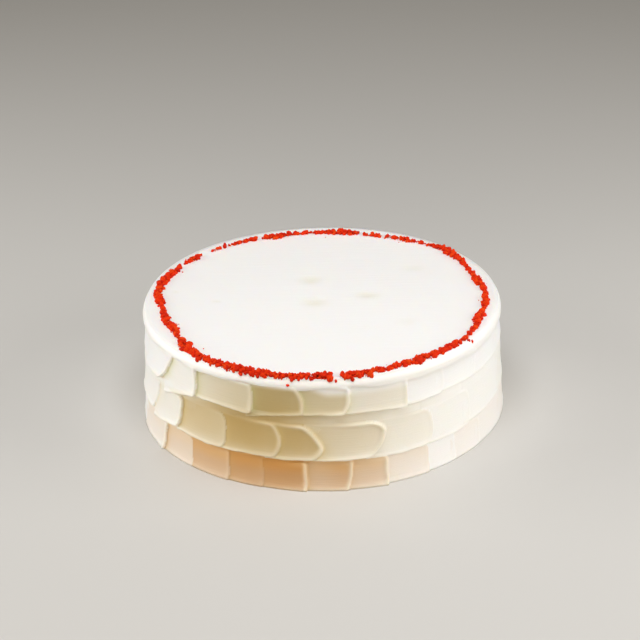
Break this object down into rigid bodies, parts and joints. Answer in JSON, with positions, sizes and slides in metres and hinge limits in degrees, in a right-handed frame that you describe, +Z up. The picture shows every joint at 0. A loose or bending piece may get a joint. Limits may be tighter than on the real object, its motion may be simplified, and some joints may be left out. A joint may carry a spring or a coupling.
{
  "type": "red velvet cake",
  "caption": "Round red velvet cake under cream cheese frosting, its side laid in rows of overlapping palette-knife strokes, with a ring of red crumbs on top inside the rim.",
  "frame": {"origin": "middle of the flat base, on the surface the cake stands on", "axes": "+Z straight up through the middle of the top, -Y towards the front as pictured, +X to its right"},
  "size_m": [0.2153, 0.2166, 0.0713],
  "materials": {
    "frosting": "smooth cream cheese frosting, ivory, tinted cream to pale peach towards the foot, satin",
    "crumbs": "dry crumbled red sponge, matt"
  },
  "bodies": {
    "root": {"frosted_cake": "frosting"}
  },
  "joints": []
}
